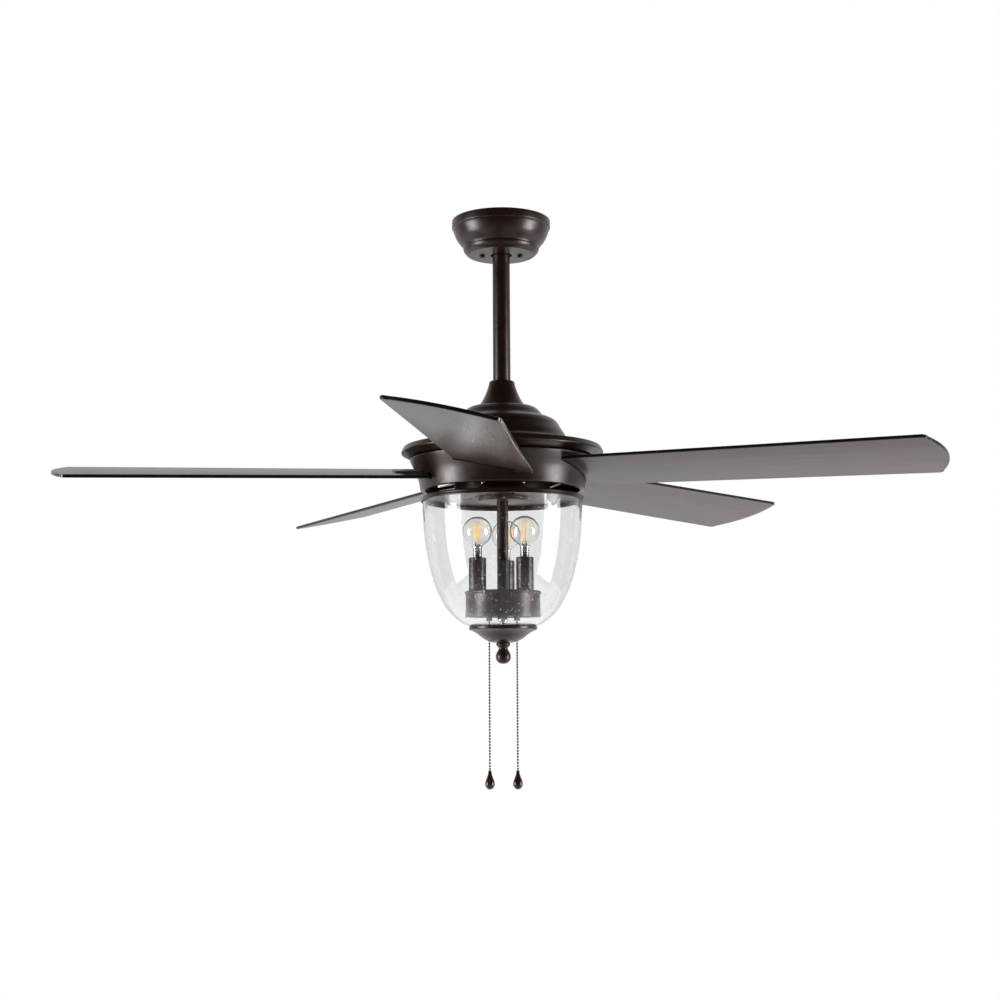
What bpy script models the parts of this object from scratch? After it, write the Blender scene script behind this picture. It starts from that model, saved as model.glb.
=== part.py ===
"""Five-blade ceiling fan with a three-lamp light kit under a clear glass bowl.

The fan hangs from a ceiling bracket: a hanger ball carries the downrod, the downrod carries the motor
and its housing, and a tie rod under the motor shaft carries the light kit.  Sizes are in millimetres
and are turned into metres where a mesh is made.  The origin is the middle of the bracket's ceiling
face, with +Z up, so the whole fan lies below zero.
"""
import math

import bpy
from mathutils import Matrix, Vector

MM = 0.001
GAP = 0.3                   # space between touching pieces
WALL = 1.5                  # pressed steel covers

# Heights of the main levels, counted down from the ceiling
BALL_Z = -26.2
CANOPY_FLOOR_Z = -54.6
COVER_TOP_Z = -251.5
PIN_Z = -276.0
HOUSING_TOP_Z = -290.0
MOTOR_TOP_Z = -322.0
MOTOR_FLOOR_Z = -384.0
BLADE_Z = -396.0
DRUM_TOP_Z = -371.6
DRUM_BOTTOM_Z = -419.2
PAN_Z = -428.0
PAN_LIP_Z = -435.8
BOWL_TOP_Z = -433.4
LAMP_GLOBE_Z = -481.8
SLEEVE_TOP_Z = -521.4
CLUSTER_TOP_Z = -570.5
CLUSTER_BOTTOM_Z = -609.5
CAP_RIM_Z = -623.0
CAP_BOTTOM_Z = -647.5
FOB_TOP_Z = -835.5

# Radii
CANOPY_R = 75.5
CANOPY_HOLE_R = 16.6
BALL_R = 22.0
ROD_R = 13.35
MOTOR_R = 80.0
SHAFT_R = 8.0
FLANGE_R = 153.0
HUB_R = 72.0
PAN_R = 122.9
BOWL_R = 120.4
GLOBE_R = 22.2
TIE_ROD_R = 4.0

# Blades
BLADE_COUNT = 5
FIRST_BLADE_DEG = 47.7
BLADE_ROOT = 120.0
BLADE_TIP = 660.0
BLADE_CORNER = 644.0
WIDTH_AT_DRUM = 119.0
WIDTH_AT_TIP = 142.5
DRUM_EXIT = 130.0
BLADE_THICK = 5.0
PITCH_DEG = 12.2
DROOP_DEG = 1.0
DROOP_FROM = 150.0
SLOT_OVER, SLOT_UNDER = 3.5, 1.5
SLOT_RAISED, SLOT_LOWERED = -60.3, 50.0     # slot ends on the raised and the lowered side of a blade

# Lamps
LAMP_RING_R = 41.0
FIRST_LAMP_DEG = 203.0
BOWL_DEPTH = 194.6
BOWL_POWER = 0.3
BOWL_HOLE_R = 32.0

# Pull chains
CHAIN_X = 20.7
CHAIN_DIA = 3.2
SWITCH_NOSE_Z = -616.0

PARTS = "ceiling_fan"
CUTTERS = "cutters"
BRONZE = ("oil_rubbed_bronze", (0.035, 0.022, 0.019), 0.38, 0.8)
STEEL = ("zinc_steel", (0.55, 0.55, 0.56), 0.35, 1.0)
CASTING = ("motor_casting", (0.30, 0.30, 0.31), 0.5, 0.9)
WALNUT = ("dark_walnut", (0.07, 0.042, 0.034), 0.4, 0.0)
GLASS = ("clear_glass", (0.95, 0.96, 0.96), 0.03, 0.0)
RUBBER = ("black_rubber", (0.02, 0.02, 0.02), 0.8, 0.0)
AMBER = ("filament", (1.0, 0.55, 0.15), 0.4, 0.0)
PLASTIC = ("black_plastic", (0.03, 0.03, 0.03), 0.5, 0.0)


def clear_scene():
    """Remove whatever the file opened with."""
    for obj in list(bpy.data.objects):
        bpy.data.objects.remove(obj, do_unlink=True)


def collection(name, hidden=False):
    """Make a collection under the scene's own."""
    made = bpy.data.collections.new(name)
    made.hide_render = hidden
    bpy.context.scene.collection.children.link(made)
    return made


def finish_of(spec):
    """Principled material from (name, colour, roughness, metallic), made once."""
    name, colour, rough, metal = spec
    found = bpy.data.materials.get(name)
    if found:
        return found
    found = bpy.data.materials.new(name)
    found.use_nodes = True
    shader = found.node_tree.nodes["Principled BSDF"]
    shader.inputs["Base Color"].default_value = (*colour, 1.0)
    shader.inputs["Roughness"].default_value = rough
    shader.inputs["Metallic"].default_value = metal
    found.diffuse_color = (*colour, 1.0)
    return found


def place(obj, finish):
    """Put an object among the parts, with its finish."""
    for old in list(obj.users_collection):
        old.objects.unlink(obj)
    bpy.data.collections[PARTS].objects.link(obj)
    obj.data.materials.clear()
    obj.data.materials.append(finish_of(finish))
    return obj


def make_cutter(obj):
    """Move an object to the cutters, where it is never shown as a part."""
    for old in list(obj.users_collection):
        old.objects.unlink(obj)
    bpy.data.collections[CUTTERS].objects.link(obj)
    obj.hide_render = True
    obj.display_type = "WIRE"
    return obj


def profile_object(name, points, closed, steps):
    """Outline of (radius, height) points in millimetres, turned about Z by a Screw modifier."""
    count = len(points)
    edges = [(i, i + 1) for i in range(count - 1)]
    if closed:
        edges.append((count - 1, 0))
    mesh = bpy.data.meshes.new(name)
    mesh.from_pydata([(r * MM, 0.0, z * MM) for r, z in points], edges, [])
    obj = bpy.data.objects.new(name, mesh)
    bpy.context.scene.collection.objects.link(obj)
    screw = obj.modifiers.new("turn", "SCREW")
    screw.axis = "Z"
    screw.angle = math.tau
    screw.steps = screw.render_steps = steps
    screw.use_merge_vertices = True
    screw.merge_threshold = 0.00001
    screw.use_smooth_shade = True
    return obj


def turned(name, points, finish, steps=20, closed=True):
    """Solid of revolution from an outline that runs down its outer side."""
    return place(profile_object(name, points, closed, steps), finish)


def turned_shell(name, points, finish, wall=WALL, steps=20):
    """Pressed cover: an open outline turned about Z, its wall laid inside the outer face."""
    obj = turned(name, points, finish, steps, closed=False)
    solid = obj.modifiers.new("wall", "SOLIDIFY")
    solid.thickness = wall * MM
    solid.offset = -1.0
    solid.use_even_offset = True
    return obj


def ring(name, outer, inner, top, bottom, finish, steps=20):
    """Plain ring between two radii and two heights."""
    outline = [(outer, top), (outer, bottom), (inner, bottom), (inner, top)]
    return turned(name, outline, finish, steps)


def rod(name, radius, start, end, finish, sides=16):
    """Straight round bar from one point to another."""
    a, b = Vector(start) * MM, Vector(end) * MM
    bpy.ops.mesh.primitive_cylinder_add(vertices=sides, radius=radius * MM, depth=(b - a).length)
    obj = bpy.context.object
    turn = (b - a).to_track_quat("Z", "Y").to_matrix().to_4x4()
    obj.matrix_world = Matrix.Translation((a + b) / 2) @ turn
    obj.name = name
    return place(obj, finish) if finish else make_cutter(obj)


def box(name, low, high, finish, frame=None):
    """Box between two corners, in the part's frame or in the frame given."""
    low, high = Vector(low) * MM, Vector(high) * MM
    bpy.ops.mesh.primitive_cube_add(size=1.0)
    obj = bpy.context.object
    obj.data.transform(Matrix.Translation((low + high) / 2) @ Matrix.Diagonal((*(high - low), 1.0)))
    obj.matrix_world = frame or Matrix.Identity(4)
    obj.name = name
    return place(obj, finish) if finish else make_cutter(obj)


def combine(obj, other, how):
    """Cut or join one object with another by a Boolean modifier."""
    if other.name not in bpy.data.collections[CUTTERS].objects:
        make_cutter(other)
    made = obj.modifiers.new(how.lower(), "BOOLEAN")
    made.operation = how
    made.object = other
    made.solver = "EXACT"
    return obj


def cut(obj, *others):
    """Take the other objects out of this one."""
    for other in others:
        combine(obj, other, "DIFFERENCE")
    return obj


def join(obj, *others):
    """Make one solid of this object and the others."""
    for other in others:
        combine(obj, other, "UNION")
    return obj


def moved(point, x, y):
    """Shift a turned object's axis to x, y."""
    point.location = (x * MM, y * MM, 0.0)
    return point


# ---------------------------------------------------------------- ceiling bracket and canopy

def make_bracket():
    """U-shaped strap: ceiling plate, two legs, and a floor with the open seat of the hanger ball."""
    floor_z = -40.0
    strap = box("hanger_bracket", (-48, -22, -2.5), (48, 22, 0), STEEL)
    for side in (-1, 1):
        leg = box("leg", (side * 35 - 1.5, -22, floor_z - 2.5), (side * 35 + 1.5, 22, -1), None)
        join(strap, leg)
    join(strap, box("seat", (-36, -22, floor_z - 2.5), (36, 22, floor_z), None))
    seat_hole = rod("seat_hole", 17.5, (0, 0, floor_z - 6), (0, 0, floor_z + 6), None, 24)
    entry = box("entry", (-15, 0, floor_z - 6), (15, 30, floor_z + 6), None)
    wire_hole = rod("wire_hole", 8, (24, 0, -6), (24, 0, 6), None)
    cut(strap, seat_hole, entry, wire_hole)
    for n, side in enumerate((-1, 1), 1):
        screw_x = side * 29.0
        cut(strap, rod("screw_hole", 2.6, (screw_x, 0, floor_z - 6), (screw_x, 0, floor_z + 6), None, 12))
        shank = rod(f"canopy_screw_{n}", 2.2, (screw_x, 0, floor_z + 1), (screw_x, 0, CANOPY_FLOOR_Z - 2.5), STEEL, 12)
        head_top = CANOPY_FLOOR_Z - GAP
        join(shank, rod("head", 4.2, (screw_x, 0, head_top), (screw_x, 0, head_top - 3.0), None, 12))


def make_canopy():
    """Cup against the ceiling: a straight band, a swelled belt and a smaller one over a flat floor."""
    outline = [(CANOPY_R, -0.5), (CANOPY_R, -12), (72.8, -15), (69.8, -25), (65.6, -33), (58.0, -42.5),
               (56.8, -47.5), (52.4, CANOPY_FLOOR_Z + 1.0), (50.2, CANOPY_FLOOR_Z),
               (CANOPY_HOLE_R, CANOPY_FLOOR_Z)]
    cup = turned_shell("canopy", outline, BRONZE, 1.2)
    for side in (-1, 1):
        below, above = CANOPY_FLOOR_Z - 4, CANOPY_FLOOR_Z + 4
        hole = rod("key_hole", 3.0, (side * 29, 0, below), (side * 29, 0, above), None, 12)
        near, far = sorted((0, side * 8))
        slot = box("key_slot", (side * 29 - 3, near, below), (side * 29 + 3, far, above), None)
        cut(cup, hole, slot)


def make_ball_and_rod():
    """Hanger ball, its cross pin and the downrod, with the clevis pin's holes at the lower end."""
    low, high = BALL_Z - 18.0, BALL_Z + 14.0
    bore = ROD_R + 1.25
    steps = 4
    outline = []
    for i in range(steps + 1):
        z = high + (low - high) * i / steps
        outline.append((math.sqrt(BALL_R ** 2 - (z - BALL_Z) ** 2), z))
    outline += [(bore, low), (bore, high)]
    ball = turned("hanger_ball", outline, CASTING)
    ball.rotation_euler.z = math.radians(9)     # brings the middle of a facet to the pin's hole
    pipe = ring("downrod", ROD_R, ROD_R - 2.6, -10, -286, BRONZE)
    for target in (ball, pipe):
        cut(target, rod("pin_hole", 3.3, (0, -30, BALL_Z), (0, 30, BALL_Z), None, 10))
    rod("hanger_pin", 3.0, (0, -20, BALL_Z), (0, 20, BALL_Z), STEEL, 12)
    cut(pipe, rod("clevis_hole", 3.3, (-30, 0, PIN_Z), (30, 0, PIN_Z), None, 12))


# ---------------------------------------------------------------- motor and housing

def make_motor_mount():
    """Yoke coupling that takes the downrod, its clevis pin, and the flared cover over both."""
    bore = ROD_R + GAP
    outline = [(18, -262), (18, -303), (SHAFT_R + GAP, -303), (SHAFT_R + GAP, -298), (bore, -298),
               (bore, -262)]
    yoke = turned("yoke_coupling", outline, CASTING)
    cut(yoke, rod("clevis_hole", 3.3, (-30, 0, PIN_Z), (30, 0, PIN_Z), None, 12))
    rod("clevis_pin", 3.0, (-21, 0, PIN_Z), (21, 0, PIN_Z), STEEL, 12)
    cover = [(14.2, COVER_TOP_Z), (18.8, COVER_TOP_Z), (19.6, -253.5), (21.0, -259), (24.2, -268),
             (28.6, -278), (33.2, -286), (35.0, HOUSING_TOP_Z + 2), (35.0, HOUSING_TOP_Z + GAP)]
    turned_shell("yoke_cover", cover, BRONZE)
    turned("motor_shaft", [(SHAFT_R, -290), (SHAFT_R, -428), (5.2, -428), (5.2, -290)], STEEL, 16)


def make_housing():
    """Fixed covers: the two-stepped upper housing and the wide flat flange ring under it."""
    upper = [(22, HOUSING_TOP_Z), (41, HOUSING_TOP_Z - 0.4), (50.8, -293), (56.4, -297.8), (63.9, -306.4),
             (73.3, -309.7), (82.6, -315), (87.2, -321.8), (94.7, -333), (98.5, -342), (103.5, -345.4),
             (103.5, -346.8)]
    turned_shell("upper_housing", upper, BRONZE)
    flange = [(101, -347.4), (105, -347.6), (148, -353.4), (152.9, -356.2), (FLANGE_R, -361.2),
              (150.5, -364.6), (145.5, -367.4), (137.2, -370.4)]
    turned_shell("flange_ring", flange, BRONZE)


def make_motor():
    """Stator on the shaft, and the rotor's case and lid on two bearings round it."""
    seat = 16.0
    ring("stator", 71, SHAFT_R + GAP, -337, -371, CASTING, 16)
    for name, top in (("upper_bearing", MOTOR_TOP_Z - 1), ("lower_bearing", MOTOR_FLOOR_Z + 8)):
        ring(name, seat - GAP, SHAFT_R + GAP, top, top - 7, STEEL, 16)
    lid = [(MOTOR_R, MOTOR_TOP_Z), (MOTOR_R, MOTOR_TOP_Z - 3), (20, MOTOR_TOP_Z - 3),
           (20, MOTOR_TOP_Z - 9), (seat, MOTOR_TOP_Z - 9), (seat, MOTOR_TOP_Z)]
    turned("rotor_lid", lid, CASTING)
    rim, floor = MOTOR_TOP_Z - 3 - GAP, MOTOR_FLOOR_Z
    case = [(MOTOR_R, rim), (MOTOR_R, floor), (seat, floor), (seat, floor + 9), (20, floor + 9),
            (20, floor + 4), (MOTOR_R - 3, floor + 4), (MOTOR_R - 3, rim)]
    turned("rotor_case", case, CASTING)


# ---------------------------------------------------------------- drum and blades

def blade_frame(index):
    """Frame of one blade: X out along it, Z off its upper face, with its pitch and its droop."""
    angle = math.radians(FIRST_BLADE_DEG + 360.0 / BLADE_COUNT * index)
    hinge = Vector((DROOP_FROM * MM, 0.0, 0.0))
    return (Matrix.Rotation(angle, 4, "Z")
            @ Matrix.Translation(Vector((0.0, 0.0, BLADE_Z * MM)) + hinge)
            @ Matrix.Rotation(math.radians(DROOP_DEG), 4, "Y")
            @ Matrix.Rotation(-math.radians(PITCH_DEG), 4, "X")
            @ Matrix.Translation(-hinge))


def blade_width(radius):
    """Width grows in a straight line from the drum to the tip."""
    along = (radius - DRUM_EXIT) / (BLADE_CORNER - DRUM_EXIT)
    return WIDTH_AT_DRUM + (WIDTH_AT_TIP - WIDTH_AT_DRUM) * along


def blade_outline():
    """Blade seen flat: straight root and sides, two rounded corners and a slightly bowed tip."""
    half = WIDTH_AT_TIP / 2
    corner = 9.0
    right = [(BLADE_ROOT, -blade_width(BLADE_ROOT) / 2), (BLADE_CORNER - corner, -half + 0.3)]
    for i in range(1, 4):
        a = math.radians(90.0 * i / 4)
        right.append((BLADE_CORNER - corner * (1 - math.sin(a)), -half + corner * (1 - math.cos(a))))
    sag_at = half - corner
    for i in range(0, 4):
        y = -sag_at * (1 - i / 4)
        right.append((BLADE_TIP - (BLADE_TIP - BLADE_CORNER) * (y / sag_at) ** 2, y))
    return right + [(BLADE_TIP, 0.0)] + [(x, -y) for x, y in reversed(right)]


def make_blades():
    """Five blades, each with the arm that screws it to the rotor."""
    points = blade_outline()
    for i in range(BLADE_COUNT):
        curve = bpy.data.curves.new(f"blade_{i + 1}", "CURVE")
        curve.dimensions = "2D"
        curve.fill_mode = "BOTH"
        curve.extrude = BLADE_THICK / 2 * MM
        spline = curve.splines.new("POLY")
        spline.points.add(len(points) - 1)
        for point, (x, y) in zip(spline.points, points):
            point.co = (x * MM, y * MM, 0.0, 1.0)
        spline.use_cyclic_u = True
        blade = bpy.data.objects.new(f"blade_{i + 1}", curve)
        blade.matrix_world = blade_frame(i)
        bpy.context.scene.collection.objects.link(blade)
        place(blade, WALNUT)
        make_arm(i)


def make_arm(index):
    """Flat foot under the rotor and a pitched plate along the top of the blade's root."""
    angle = math.radians(FIRST_BLADE_DEG + 360.0 / BLADE_COUNT * index)
    flat = Matrix.Rotation(angle, 4, "Z")
    arm = box(f"blade_arm_{index + 1}", (50, -13, MOTOR_FLOOR_Z - 7), (78, 13, MOTOR_FLOOR_Z - GAP), CASTING,
              flat)
    bottom = BLADE_THICK / 2 + GAP
    join(arm, box("arm_plate", (66, -20, bottom), (165, 20, bottom + 2.8), None, blade_frame(index)))


def make_drum():
    """Turning cover: a web pressed over the rotor, a rolled top edge and a hollow taper that ends in
    a narrow inward lip, slotted for the blades."""
    outline = [(MOTOR_R + 1, DRUM_TOP_Z), (137.8, DRUM_TOP_Z), (139.3, DRUM_TOP_Z - 1.4), (134.4, -382),
               (128.6, -396), (124.7, -411), (123.4, DRUM_BOTTOM_Z), (117, DRUM_BOTTOM_Z)]
    drum = turned_shell("blade_drum", outline, BRONZE)
    low = -BLADE_THICK / 2 - SLOT_UNDER
    high = BLADE_THICK / 2 + SLOT_OVER
    for i in range(BLADE_COUNT):
        cut(drum, box("blade_slot", (105, SLOT_RAISED, low), (150, SLOT_LOWERED, high), None, blade_frame(i)))


# ---------------------------------------------------------------- light kit

def make_kit_frame():
    """Hub under the shaft, fitter pan, centre tube and the tie rod that clamps the kit together."""
    hub = [(SHAFT_R + GAP, -400), (HUB_R - 3, -400), (HUB_R, -403), (HUB_R, PAN_Z + GAP)]
    turned_shell("light_kit_hub", hub, BRONZE)
    hole = TIE_ROD_R + 0.5
    dish = PAN_LIP_Z + 1.3
    pan = [(hole, dish), (37, dish), (40, PAN_Z), (121.4, PAN_Z), (PAN_R, PAN_Z - 1.5),
           (PAN_R, PAN_LIP_Z)]
    turned_shell("fitter_pan", pan, BRONZE, 1.3, 24)
    ring("centre_tube", 8.6, TIE_ROD_R + 1, PAN_LIP_Z - GAP, CLUSTER_TOP_Z + GAP, BRONZE, 16)
    rod("tie_rod", TIE_ROD_R, (0, 0, -424), (0, 0, -655), STEEL, 12)


def make_cluster():
    """Cup that carries the three lamps on its top and hides the switches, with its floor plate."""
    hole = TIE_ROD_R + 0.5
    outline = [(hole, CLUSTER_TOP_Z), (56.5, CLUSTER_TOP_Z), (57.3, CLUSTER_TOP_Z - 2),
               (56.0, CLUSTER_TOP_Z - 4.2), (56.4, CLUSTER_BOTTOM_Z)]
    turned_shell("cluster_body", outline, BRONZE, 1.3)
    floor = CLUSTER_BOTTOM_Z + 3.5
    plate = ring("cluster_plate", 54.2, hole, floor, floor - 1.5, BRONZE)
    for n, side in enumerate((-1, 1), 1):
        x = side * CHAIN_X
        cut(plate, rod("nose_hole", 4.9, (x, 0, floor - 6), (x, 0, floor + 6), None, 12))
        switch = box(f"pull_switch_{n}", (x - 9, -11, floor + GAP), (x + 9, 11, floor + 22), PLASTIC)
        join(switch, rod("nose", 4.4, (x, 0, SWITCH_NOSE_Z), (x, 0, floor + 5), None, 12))


def lamp_places():
    """Axis of each lamp, evenly round the centre tube."""
    for n in range(3):
        angle = math.radians(FIRST_LAMP_DEG + 120.0 * n)
        yield n + 1, LAMP_RING_R * math.cos(angle), LAMP_RING_R * math.sin(angle)


def globe_outline():
    """Round lamp: a sphere running into a short neck, open below."""
    points = []
    bands = 7
    for i in range(bands):
        a = math.radians(150.0 * i / (bands - 1))
        points.append((GLOBE_R * math.sin(a), LAMP_GLOBE_Z + GLOBE_R * math.cos(a)))
    return points + [(7.6, LAMP_GLOBE_Z - 22.5)]


def make_lamps():
    """Candle sleeve, socket, screw base, globe and filament of each lamp."""
    foot = CLUSTER_TOP_Z + GAP
    socket_top = SLEEVE_TOP_Z - 1.2
    base_top = LAMP_GLOBE_Z - 22.5 - GAP
    base_end = base_top - 26
    for n, x, y in lamp_places():
        moved(ring(f"candle_sleeve_{n}", 13.0, 12.0, SLEEVE_TOP_Z, foot, BRONZE, 16), x, y)
        socket = [(11.6, socket_top), (11.6, foot), (7.4, foot), (7.4, socket_top)]
        moved(turned(f"lamp_socket_{n}", socket, PLASTIC, 14), x, y)
        base = [(0, base_top), (7.0, base_top), (7.0, base_end + 3), (3, base_end), (0, base_end)]
        moved(turned(f"bulb_base_{n}", base, STEEL, 14, closed=False), x, y)
        moved(turned_shell(f"bulb_glass_{n}", globe_outline(), GLASS, 0.9, 14), x, y)
        stem = [(0, LAMP_GLOBE_Z + 10), (5.5, LAMP_GLOBE_Z + 8), (4.5, LAMP_GLOBE_Z - 14), (2.5, base_top + GAP),
                (0, base_top + GAP)]
        moved(turned(f"filament_{n}", stem, AMBER, 10, closed=False), x, y)


def make_bowl():
    """Clear bowl: radius falls with depth as (1 - depth squared) to a power, down to a round hole."""
    points = []
    last = math.sqrt(1 - (BOWL_HOLE_R / BOWL_R) ** (1 / BOWL_POWER))
    bands = 11
    for i in range(bands):
        t = last * math.sin(math.radians(90 * i / (bands - 1)))
        points.append((BOWL_R * (1 - t * t) ** BOWL_POWER, BOWL_TOP_Z - BOWL_DEPTH * t))
    turned_shell("glass_bowl", points, GLASS, 2.5, 24)


def make_bottom():
    """Gasket, dished cap and turned finial that close and hold the bowl."""
    gasket = [(48.0, -624.2), (48.0, -627.6), (42, -628.0), (42, -625.9)]
    turned("bottom_gasket", gasket, RUBBER)
    cap = [(51, CAP_RIM_Z), (51, CAP_RIM_Z - 5.4), (40, -633.6), (32.5, -639.6), (25, -644.4),
           (14, -647.2), (TIE_ROD_R + 0.5, CAP_BOTTOM_Z)]
    cover = turned_shell("bottom_cap", cap, BRONZE, 1.4)
    for side in (-1, 1):
        x = side * CHAIN_X
        cut(cover, rod("chain_hole", 3.6, (x, 0, -655), (x, 0, -635), None, 12))
    top = CAP_BOTTOM_Z - GAP
    bore = TIE_ROD_R + GAP
    outline = [(10.6, top), (10.2, top - 3), (7.4, top - 6), (8.6, top - 11.5), (11.3, top - 19),
               (8.8, top - 27), (0, top - 31), (0, top - 9), (bore, top - 9), (bore, top)]
    turned("finial", outline, BRONZE, 14, closed=False)
    close_loop(bpy.data.objects["finial"])


def close_loop(obj):
    """Join the last point of a turned outline back to its first."""
    mesh = obj.data
    count = len(mesh.vertices)
    corners = [tuple(v.co) for v in mesh.vertices]
    mesh.clear_geometry()
    mesh.from_pydata(corners, [(i, (i + 1) % count) for i in range(count)], [])


# ---------------------------------------------------------------- pull chains

def make_chains():
    """Two hanging bead chains as plain tubes, each with its teardrop fob."""
    top = SWITCH_NOSE_Z - GAP
    bottom = FOB_TOP_Z + GAP
    stations = 24
    fob = [(0, FOB_TOP_Z), (2.4, FOB_TOP_Z - 0.6), (4.6, FOB_TOP_Z - 9), (7.4, FOB_TOP_Z - 18.5),
           (5.0, FOB_TOP_Z - 26), (0, FOB_TOP_Z - 28.4)]
    for n, side in enumerate((-1, 1), 1):
        curve = bpy.data.curves.new(f"pull_chain_{n}", "CURVE")
        curve.dimensions = "3D"
        curve.bevel_depth = CHAIN_DIA / 2 * MM
        curve.bevel_resolution = 1
        curve.use_fill_caps = True
        spline = curve.splines.new("POLY")
        spline.points.add(stations - 1)
        for i, point in enumerate(spline.points):
            z = top + (bottom - top) * i / (stations - 1)
            point.co = (0.0, 0.0, z * MM, 1.0)
        chain = bpy.data.objects.new(f"pull_chain_{n}", curve)
        bpy.context.scene.collection.objects.link(chain)
        place(moved(chain, side * CHAIN_X, 0), STEEL)
        moved(turned(f"chain_fob_{n}", fob, WALNUT, 14, closed=False), side * CHAIN_X, 0)


def shade_round_pieces():
    """Smooth faces that meet at less than thirty degrees."""
    for obj in bpy.data.collections[PARTS].objects:
        if obj.type == "MESH" and obj.data.polygons:
            obj.data.shade_smooth()
            obj.data.set_sharp_from_angle(angle=math.radians(30))


def main():
    clear_scene()
    collection(PARTS)
    collection(CUTTERS, hidden=True)
    make_bracket()
    make_canopy()
    make_ball_and_rod()
    make_motor_mount()
    make_housing()
    make_motor()
    make_drum()
    make_blades()
    make_kit_frame()
    make_cluster()
    make_lamps()
    make_bowl()
    make_bottom()
    make_chains()
    shade_round_pieces()


main()
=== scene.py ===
"""Looks of the five-blade ceiling fan with its lamp cluster in a seeded glass bowl.

Every new piece is a surface worked out with numpy in the fan's own frame: origin in the middle of the
bracket's ceiling face, +Z up, metres.  Outlines are written in millimetres as (radius, height).
"""
import math

import bmesh
import bpy
import numpy as np
from mathutils import Matrix, Vector


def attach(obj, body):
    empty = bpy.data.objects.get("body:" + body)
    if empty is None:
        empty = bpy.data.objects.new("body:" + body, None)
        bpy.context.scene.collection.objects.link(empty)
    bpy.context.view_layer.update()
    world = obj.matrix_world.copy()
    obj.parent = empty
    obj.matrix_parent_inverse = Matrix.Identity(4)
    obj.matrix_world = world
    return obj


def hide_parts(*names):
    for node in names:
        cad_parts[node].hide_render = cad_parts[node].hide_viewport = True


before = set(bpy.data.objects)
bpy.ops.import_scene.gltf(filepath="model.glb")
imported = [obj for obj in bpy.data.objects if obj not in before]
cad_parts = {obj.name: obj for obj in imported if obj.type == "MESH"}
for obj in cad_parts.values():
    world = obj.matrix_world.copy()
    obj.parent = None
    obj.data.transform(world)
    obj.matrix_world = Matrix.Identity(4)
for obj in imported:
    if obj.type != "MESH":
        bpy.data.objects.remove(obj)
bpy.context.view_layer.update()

MM = 0.001
TURN = 160                  # facets round a large turned piece
SMALL_TURN = 64             # and round a small one
SHARP_DEG = 32.0            # an edge that bends more than this stays crisp
POLE = 1e-5                 # radius that stands for a point on the axis

# Heights and radii the new pieces share with the frame, millimetres
CANOPY_FLOOR = -54.6
SCREW_X = 29.0
BLADE_Z = -396.0
PAN_Z = -428.0
CLUSTER_TOP = -570.5
CLUSTER_FLOOR = -606.0
CAP_TOP = -623.0
CAP_END = -647.5
GLOBE_Z = -481.8
SLEEVE_TOP = -521.4
STAND_Z = CLUSTER_TOP + 0.3     # foot of what stands on the cluster
TIE_ROD_R = 4.0
WALL = 1.5                  # pressed covers
PLATE_WALL = 1.3            # fitter pan and cluster cup

# Blades
BLADES = 5
FIRST_BLADE_DEG = 47.7
PITCH_DEG = 12.2
DROOP_DEG = 1.0
DROOP_FROM = 150.0
ROOT, TIP, CORNER_AT = 120.0, 660.0, 644.0
WIDTH_ROOT_SIDE, WIDTH_TIP = 119.0, 142.5
EXIT_R = 130.0
THICK = 5.0
TIP_CORNER_R = 9.0
EDGE_SOFT = 1.3

# Lamps and chains
LAMPS = 3
LAMP_RING_R = 41.0
FIRST_LAMP_DEG = 203.0
GLOBE_R = 22.2
GLASS_WALL = 0.9
CHAIN_X = 20.7
NOSE_Z = -616.0
FOB_TOP = -835.5
CHAIN_DIA = 3.2
BEAD_PITCH = 4.4
CHAIN_WIRE_R = 0.45

# Bowl
BOWL_TOP, BOWL_DEPTH = -433.4, 194.6
BOWL_RIM_R, BOWL_HOLE_R = 120.4, 32.0
BOWL_POWER = 0.3
BOWL_WALL = 2.5
BOWL_TURN = 192
SEEDS = 1300
SEED_RADII = [0.46, 0.60, 0.80, 1.05]
SEED_SHARES = [0.42, 0.34, 0.18, 0.06]

# Studio, metres
FLOOR_Z, FLOOR_HALF = -2.1, 4.0


# ------------------------------------------------------------------ outlines

def flow(points, per_span=6):
    """Smooth curve through the points: Catmull-Rom, whose slope at a point is half the step between
    the points on its two sides."""
    p = np.array(points, float)
    p = np.vstack([2 * p[0] - p[1], p, 2 * p[-1] - p[-2]])
    t = np.linspace(0, 1, per_span, endpoint=False)[:, None]
    spans = []
    for a, b, c, d in zip(p[:-3], p[1:-2], p[2:-1], p[3:]):
        spans.append(0.5 * (2 * b + (c - a) * t + (2 * a - 5 * b + 4 * c - d) * t ** 2
                            + (3 * b - a - 3 * c + d) * t ** 3))
    return np.vstack(spans + [p[-2:-1]])


def eased(points, radius=1.0, steps=5):
    """Polyline whose corners are rounded: each becomes a parabola from a point on one side to a point
    on the other, the radius away or just under half a side where that is shorter."""
    p = np.array(points, float)
    out = [p[:1]]
    t = np.linspace(0, 1, steps)[:, None]
    for a, b, c in zip(p[:-2], p[1:-1], p[2:]):
        before, after = np.linalg.norm(a - b), np.linalg.norm(c - b)
        start = b + (a - b) / before * min(radius, 0.45 * before)
        end = b + (c - b) / after * min(radius, 0.45 * after)
        out.append((1 - t) ** 2 * start + 2 * t * (1 - t) * b + t ** 2 * end)
    return np.vstack(out + [p[-1:]])


def walled(outline, wall):
    """Closed outline of a pressed cover: the outer line, then the same line moved a wall's thickness
    along its inward normal and run backwards."""
    p = np.array(outline, float)
    slope = np.gradient(p, axis=0)
    slope /= np.linalg.norm(slope, axis=1)[:, None]
    inward = np.column_stack([slope[:, 1], -slope[:, 0]])
    return np.vstack([p, (p + inward * wall)[::-1]])


# ------------------------------------------------------------------ meshes

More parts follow.
